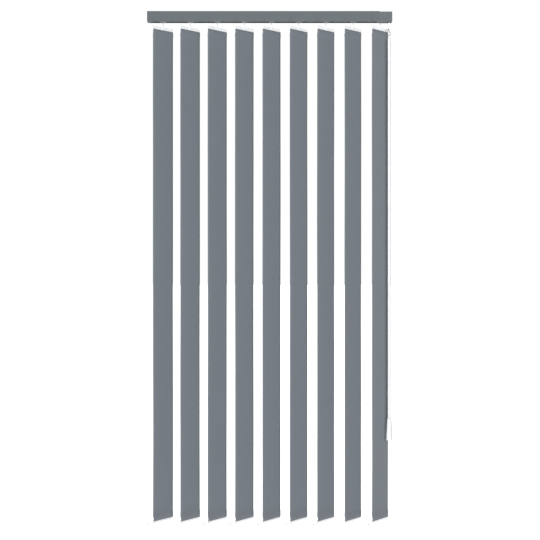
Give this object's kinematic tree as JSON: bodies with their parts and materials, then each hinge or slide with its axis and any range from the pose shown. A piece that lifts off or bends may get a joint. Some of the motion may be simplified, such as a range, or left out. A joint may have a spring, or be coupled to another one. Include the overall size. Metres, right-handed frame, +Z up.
{
  "type": "vertical blind",
  "caption": "Vertical blind: cloth vanes on geared carriers slide along a ceiling-mounted rail and are drawn and tilted by a hanging wand.",
  "frame": {"origin": "on the ceiling plane, midway between the two ceiling clips' screws", "axes": "+X along the rail towards the wand, -Y towards the room, +Z up"},
  "size_m": [1.0388, 0.1448, 2.2137],
  "materials": {
    "rail_finish": "satin",
    "end_moulding": "satin",
    "clip_plastic": "satin",
    "screw_steel": "satin",
    "rod_aluminium": "satin",
    "carrier_plastic": "satin",
    "gear_plastic": "satin",
    "hanger_plastic": "satin",
    "vane_cloth": "matte",
    "weight_plastic": "satin",
    "chain_plastic": "satin",
    "clear_plastic": "gloss",
    "wand_plastic": "satin"
  },
  "bodies": {
    "rail": {"headrail": "rail_finish", "end_cap": "end_moulding", "control_housing": "end_moulding", "ceiling_clip_1": "clip_plastic", "ceiling_clip_2": "clip_plastic", "anchor_screw": "screw_steel", "carrier_1": "carrier_plastic"},
    "tilt_rod": {"tilt_rod": "rod_aluminium"},
    "worm_1": {"worm_1": "gear_plastic"},
    "vane_1": {"stem_and_hanger_1": "hanger_plastic", "slat_1": "vane_cloth", "weight_1": "weight_plastic"},
    "carrier_2": {"carrier_2": "carrier_plastic"},
    "worm_2": {"worm_2": "gear_plastic"},
    "vane_2": {"stem_and_hanger_2": "hanger_plastic", "slat_2": "vane_cloth", "weight_2": "weight_plastic"},
    "carrier_3": {"carrier_3": "carrier_plastic"},
    "worm_3": {"worm_3": "gear_plastic"},
    "vane_3": {"stem_and_hanger_3": "hanger_plastic", "slat_3": "vane_cloth", "weight_3": "weight_plastic"},
    "carrier_4": {"carrier_4": "carrier_plastic"},
    "worm_4": {"worm_4": "gear_plastic"},
    "vane_4": {"stem_and_hanger_4": "hanger_plastic", "slat_4": "vane_cloth", "weight_4": "weight_plastic"},
    "carrier_5": {"carrier_5": "carrier_plastic"},
    "worm_5": {"worm_5": "gear_plastic"},
    "vane_5": {"stem_and_hanger_5": "hanger_plastic", "slat_5": "vane_cloth", "weight_5": "weight_plastic"},
    "carrier_6": {"carrier_6": "carrier_plastic"},
    "worm_6": {"worm_6": "gear_plastic"},
    "vane_6": {"stem_and_hanger_6": "hanger_plastic", "slat_6": "vane_cloth", "weight_6": "weight_plastic"},
    "carrier_7": {"carrier_7": "carrier_plastic"},
    "worm_7": {"worm_7": "gear_plastic"},
    "vane_7": {"stem_and_hanger_7": "hanger_plastic", "slat_7": "vane_cloth", "weight_7": "weight_plastic"},
    "carrier_8": {"carrier_8": "carrier_plastic"},
    "worm_8": {"worm_8": "gear_plastic"},
    "vane_8": {"stem_and_hanger_8": "hanger_plastic", "slat_8": "vane_cloth", "weight_8": "weight_plastic"},
    "lead_carrier": {"lead_carrier": "carrier_plastic"},
    "worm_9": {"worm_9": "gear_plastic", "rod_bevel": "gear_plastic"},
    "vane_9": {"stem_and_hanger_9": "hanger_plastic", "slat_9": "vane_cloth", "weight_9": "weight_plastic", "chain_end": "chain_plastic"},
    "wand_shaft": {"wand_shaft": "clear_plastic"},
    "wand_hook": {"wand_hook": "screw_steel"},
    "wand": {"wand_cap": "wand_plastic", "wand": "wand_plastic", "wand_grip": "wand_plastic"}
  },
  "joints": [
    {"name": "tilt", "type": "hinge", "parent": "rail", "child": "vane_1", "pos_m": [-0.452, 0, -0.04], "axis": [0, 0, 1], "range_deg": [-45, 45]},
    {"name": "traverse", "type": "slide", "parent": "rail", "child": "lead_carrier", "axis": [1, 0, 0], "range_m": [-0.712, 0]},
    {"name": "rod_turn", "type": "hinge", "parent": "rail", "child": "tilt_rod", "pos_m": [0, -0.01003, -0.027], "axis": [1, 0, 0], "range_deg": [-360, 360]},
    {"name": "worm_1_turn", "type": "hinge", "parent": "rail", "child": "worm_1", "pos_m": [-0.452, -0.01003, -0.027], "axis": [1, 0, 0], "range_deg": [-360, 360]},
    {"name": "carrier_2_slide", "type": "slide", "parent": "rail", "child": "carrier_2", "axis": [1, 0, 0], "range_m": [-0.089, 0]},
    {"name": "vane_2_turn", "type": "hinge", "parent": "carrier_2", "child": "vane_2", "pos_m": [-0.337, 0, -0.04], "axis": [0, 0, 1], "range_deg": [-45, 45]},
    {"name": "worm_2_turn", "type": "hinge", "parent": "carrier_2", "child": "worm_2", "pos_m": [-0.337, -0.01003, -0.027], "axis": [1, 0, 0], "range_deg": [-360, 360]},
    {"name": "carrier_3_slide", "type": "slide", "parent": "rail", "child": "carrier_3", "axis": [1, 0, 0], "range_m": [-0.178, 0]},
    {"name": "vane_3_turn", "type": "hinge", "parent": "carrier_3", "child": "vane_3", "pos_m": [-0.222, 0, -0.04], "axis": [0, 0, 1], "range_deg": [-45, 45]},
    {"name": "worm_3_turn", "type": "hinge", "parent": "carrier_3", "child": "worm_3", "pos_m": [-0.222, -0.01003, -0.027], "axis": [1, 0, 0], "range_deg": [-360, 360]},
    {"name": "carrier_4_slide", "type": "slide", "parent": "rail", "child": "carrier_4", "axis": [1, 0, 0], "range_m": [-0.267, 0]},
    {"name": "vane_4_turn", "type": "hinge", "parent": "carrier_4", "child": "vane_4", "pos_m": [-0.107, 0, -0.04], "axis": [0, 0, 1], "range_deg": [-45, 45]},
    {"name": "worm_4_turn", "type": "hinge", "parent": "carrier_4", "child": "worm_4", "pos_m": [-0.107, -0.01003, -0.027], "axis": [1, 0, 0], "range_deg": [-360, 360]},
    {"name": "carrier_5_slide", "type": "slide", "parent": "rail", "child": "carrier_5", "axis": [1, 0, 0], "range_m": [-0.356, 0]},
    {"name": "vane_5_turn", "type": "hinge", "parent": "carrier_5", "child": "vane_5", "pos_m": [0.008, 0, -0.04], "axis": [0, 0, 1], "range_deg": [-45, 45]},
    {"name": "worm_5_turn", "type": "hinge", "parent": "carrier_5", "child": "worm_5", "pos_m": [0.008, -0.01003, -0.027], "axis": [1, 0, 0], "range_deg": [-360, 360]},
    {"name": "carrier_6_slide", "type": "slide", "parent": "rail", "child": "carrier_6", "axis": [1, 0, 0], "range_m": [-0.445, 0]},
    {"name": "vane_6_turn", "type": "hinge", "parent": "carrier_6", "child": "vane_6", "pos_m": [0.123, 0, -0.04], "axis": [0, 0, 1], "range_deg": [-45, 45]},
    {"name": "worm_6_turn", "type": "hinge", "parent": "carrier_6", "child": "worm_6", "pos_m": [0.123, -0.01003, -0.027], "axis": [1, 0, 0], "range_deg": [-360, 360]},
    {"name": "carrier_7_slide", "type": "slide", "parent": "rail", "child": "carrier_7", "axis": [1, 0, 0], "range_m": [-0.534, 0]},
    {"name": "vane_7_turn", "type": "hinge", "parent": "carrier_7", "child": "vane_7", "pos_m": [0.238, 0, -0.04], "axis": [0, 0, 1], "range_deg": [-45, 45]},
    {"name": "worm_7_turn", "type": "hinge", "parent": "carrier_7", "child": "worm_7", "pos_m": [0.238, -0.01003, -0.027], "axis": [1, 0, 0], "range_deg": [-360, 360]},
    {"name": "carrier_8_slide", "type": "slide", "parent": "rail", "child": "carrier_8", "axis": [1, 0, 0], "range_m": [-0.623, 0]},
    {"name": "vane_8_turn", "type": "hinge", "parent": "carrier_8", "child": "vane_8", "pos_m": [0.353, 0, -0.04], "axis": [0, 0, 1], "range_deg": [-45, 45]},
    {"name": "worm_8_turn", "type": "hinge", "parent": "carrier_8", "child": "worm_8", "pos_m": [0.353, -0.01003, -0.027], "axis": [1, 0, 0], "range_deg": [-360, 360]},
    {"name": "vane_9_turn", "type": "hinge", "parent": "lead_carrier", "child": "vane_9", "pos_m": [0.468, 0, -0.04], "axis": [0, 0, 1], "range_deg": [-45, 45]},
    {"name": "worm_9_turn", "type": "hinge", "parent": "lead_carrier", "child": "worm_9", "pos_m": [0.468, -0.01003, -0.027], "axis": [1, 0, 0], "range_deg": [-360, 360]},
    {"name": "wand_turn", "type": "hinge", "parent": "lead_carrier", "child": "wand_shaft", "pos_m": [0.507, -0.01003, -0.05], "axis": [0, 0, 1], "range_deg": [-360, 360]},
    {"name": "wand_to_room", "type": "hinge", "parent": "wand_shaft", "child": "wand_hook", "pos_m": [0.507, -0.01003, -0.0746], "axis": [1, 0, 0], "range_deg": [-40, 0]},
    {"name": "wand_sideways", "type": "hinge", "parent": "wand_hook", "child": "wand", "pos_m": [0.507, -0.01003, -0.1034], "axis": [0, 1, 0], "range_deg": [-30, 0]}
  ],
  "couplings": [
    {"joint": "rod_turn", "follows": "tilt", "ratio": -8},
    {"joint": "worm_1_turn", "follows": "tilt", "ratio": -8},
    {"joint": "carrier_2_slide", "follows": "traverse", "ratio": 0.125},
    {"joint": "vane_2_turn", "follows": "tilt", "ratio": 1},
    {"joint": "worm_2_turn", "follows": "tilt", "ratio": -8},
    {"joint": "carrier_3_slide", "follows": "traverse", "ratio": 0.25},
    {"joint": "vane_3_turn", "follows": "tilt", "ratio": 1},
    {"joint": "worm_3_turn", "follows": "tilt", "ratio": -8},
    {"joint": "carrier_4_slide", "follows": "traverse", "ratio": 0.375},
    {"joint": "vane_4_turn", "follows": "tilt", "ratio": 1},
    {"joint": "worm_4_turn", "follows": "tilt", "ratio": -8},
    {"joint": "carrier_5_slide", "follows": "traverse", "ratio": 0.5},
    {"joint": "vane_5_turn", "follows": "tilt", "ratio": 1},
    {"joint": "worm_5_turn", "follows": "tilt", "ratio": -8},
    {"joint": "carrier_6_slide", "follows": "traverse", "ratio": 0.625},
    {"joint": "vane_6_turn", "follows": "tilt", "ratio": 1},
    {"joint": "worm_6_turn", "follows": "tilt", "ratio": -8},
    {"joint": "carrier_7_slide", "follows": "traverse", "ratio": 0.75},
    {"joint": "vane_7_turn", "follows": "tilt", "ratio": 1},
    {"joint": "worm_7_turn", "follows": "tilt", "ratio": -8},
    {"joint": "carrier_8_slide", "follows": "traverse", "ratio": 0.875},
    {"joint": "vane_8_turn", "follows": "tilt", "ratio": 1},
    {"joint": "worm_8_turn", "follows": "tilt", "ratio": -8},
    {"joint": "vane_9_turn", "follows": "tilt", "ratio": 1},
    {"joint": "worm_9_turn", "follows": "tilt", "ratio": -8},
    {"joint": "wand_turn", "follows": "tilt", "ratio": 8}
  ]
}
